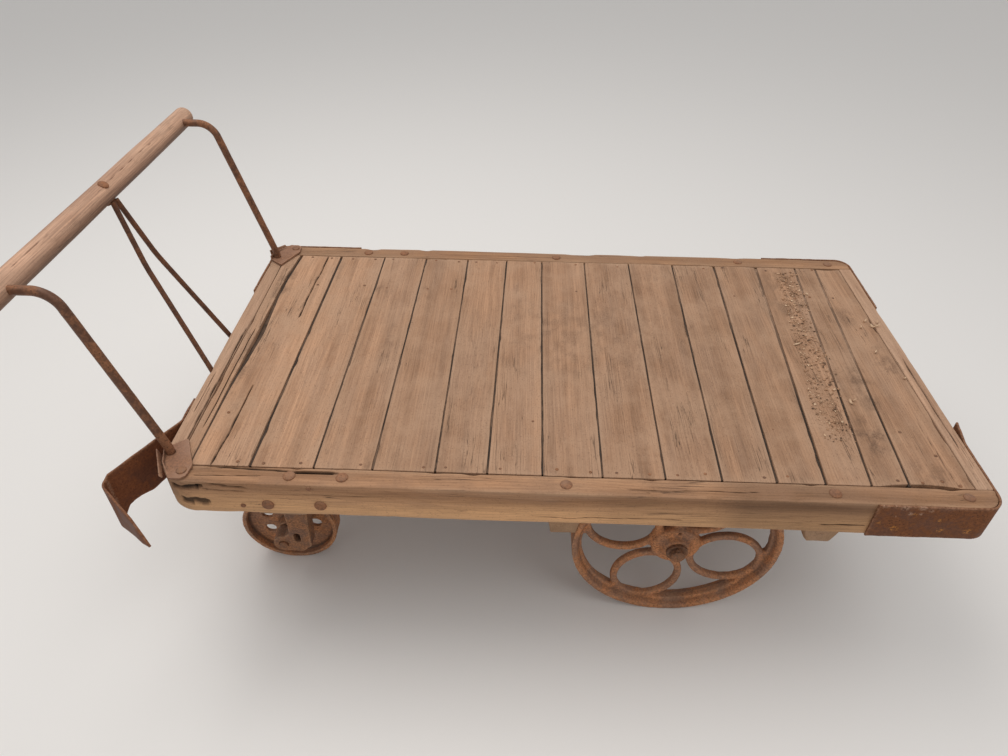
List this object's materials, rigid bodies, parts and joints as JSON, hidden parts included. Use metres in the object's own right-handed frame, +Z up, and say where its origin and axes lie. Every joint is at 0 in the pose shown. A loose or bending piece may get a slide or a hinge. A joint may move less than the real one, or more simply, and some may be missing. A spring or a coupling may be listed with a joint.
{
  "type": "four-wheel platform hand truck",
  "caption": "Low wooden platform truck with a braced bow handle, large spoked iron wheels under the deck and swivel casters at the handle end.",
  "frame": {"origin": "middle of the deck's top face", "axes": "+X along the platform towards the end without a handle, +Y across to the far side, +Z up from the deck"},
  "size_m": [1.8355, 1.0231, 0.913],
  "materials": {
    "sill_wood": "weathered hardwood, bare, worn arrises",
    "deck_wood": "weathered grey-brown boards, dirt in the joints",
    "under_wood": "dark aged timber, unpainted",
    "bar_wood": "hand-worn round timber",
    "wheel_iron": "rusted casting, polished brown on the tread",
    "caster_iron": "rusted casting",
    "axle_steel": "greasy rusted steel",
    "band_steel": "orange-brown rusted strap",
    "rod_steel": "rusted round bar, worn dark"
  },
  "bodies": {
    "truck": {"axle": "axle_steel", "axle_beam_far": "under_wood", "axle_beam_near": "under_wood", "axle_bolster_front": "under_wood", "axle_bolster_rear": "under_wood", "axle_pedestal_far": "caster_iron", "axle_pedestal_near": "caster_iron", "axle_pin_far": "axle_steel", "axle_pin_near": "axle_steel", "axle_washers_far": "axle_steel", "axle_washers_near": "axle_steel", "brace_bolt": "rod_steel", "caster_bolster": "under_wood", "caster_plate_far": "caster_iron", "caster_plate_near": "caster_iron", "corner_band_handle_far": "band_steel", "corner_band_handle_near": "band_steel", "corner_band_rear_far": "band_steel", "corner_band_rear_near": "band_steel", "deck_board_01": "deck_wood", "deck_board_02": "deck_wood", "deck_board_03": "deck_wood", "deck_board_04": "deck_wood", "deck_board_05": "deck_wood", "deck_board_06": "deck_wood", "deck_board_07": "deck_wood", "deck_board_08": "deck_wood", "deck_board_09": "deck_wood", "deck_board_10": "deck_wood", "deck_board_11": "deck_wood", "deck_board_12": "deck_wood", "deck_board_13": "deck_wood", "deck_board_14": "deck_wood", "deck_board_15": "deck_wood", "end_rail_handle": "sill_wood", "end_rail_rear": "sill_wood", "handle_brace": "rod_steel", "handle_crossbar": "bar_wood", "handle_rod_far": "rod_steel", "handle_rod_near": "rod_steel", "handle_socket_far": "band_steel", "handle_socket_near": "band_steel", "side_ledger_far": "under_wood", "side_ledger_near": "under_wood", "side_sill_far": "sill_wood", "side_sill_near": "sill_wood", "stringer_far": "under_wood", "stringer_near": "under_wood"},
    "wheel_near": {"big_wheel_near": "wheel_iron"},
    "wheel_far": {"big_wheel_far": "wheel_iron"},
    "fork_near": {"caster_fork_near": "caster_iron", "caster_axle_near": "axle_steel"},
    "fork_far": {"caster_fork_far": "caster_iron", "caster_axle_far": "axle_steel"},
    "roller_near": {"caster_wheel_near": "wheel_iron"},
    "roller_far": {"caster_wheel_far": "wheel_iron"}
  },
  "joints": [
    {"name": "wheel_near_turn", "type": "hinge", "parent": "truck", "child": "wheel_near", "pos_m": [0.2535, -0.341, -0.275], "axis": [0, 1, 0], "continuous": true},
    {"name": "wheel_far_turn", "type": "hinge", "parent": "truck", "child": "wheel_far", "pos_m": [0.2535, 0.341, -0.275], "axis": [0, 1, 0], "continuous": true},
    {"name": "caster_near_swivel", "type": "hinge", "parent": "truck", "child": "fork_near", "pos_m": [-0.62, -0.226, -0.226], "axis": [0, 0, 1], "continuous": true},
    {"name": "caster_near_turn", "type": "hinge", "parent": "fork_near", "child": "roller_near", "pos_m": [-0.667, -0.226, -0.3915], "axis": [0, 1, 0], "continuous": true},
    {"name": "caster_far_swivel", "type": "hinge", "parent": "truck", "child": "fork_far", "pos_m": [-0.62, 0.226, -0.226], "axis": [0, 0, 1], "continuous": true},
    {"name": "caster_far_turn", "type": "hinge", "parent": "fork_far", "child": "roller_far", "pos_m": [-0.667, 0.226, -0.3915], "axis": [0, 1, 0], "continuous": true}
  ]
}
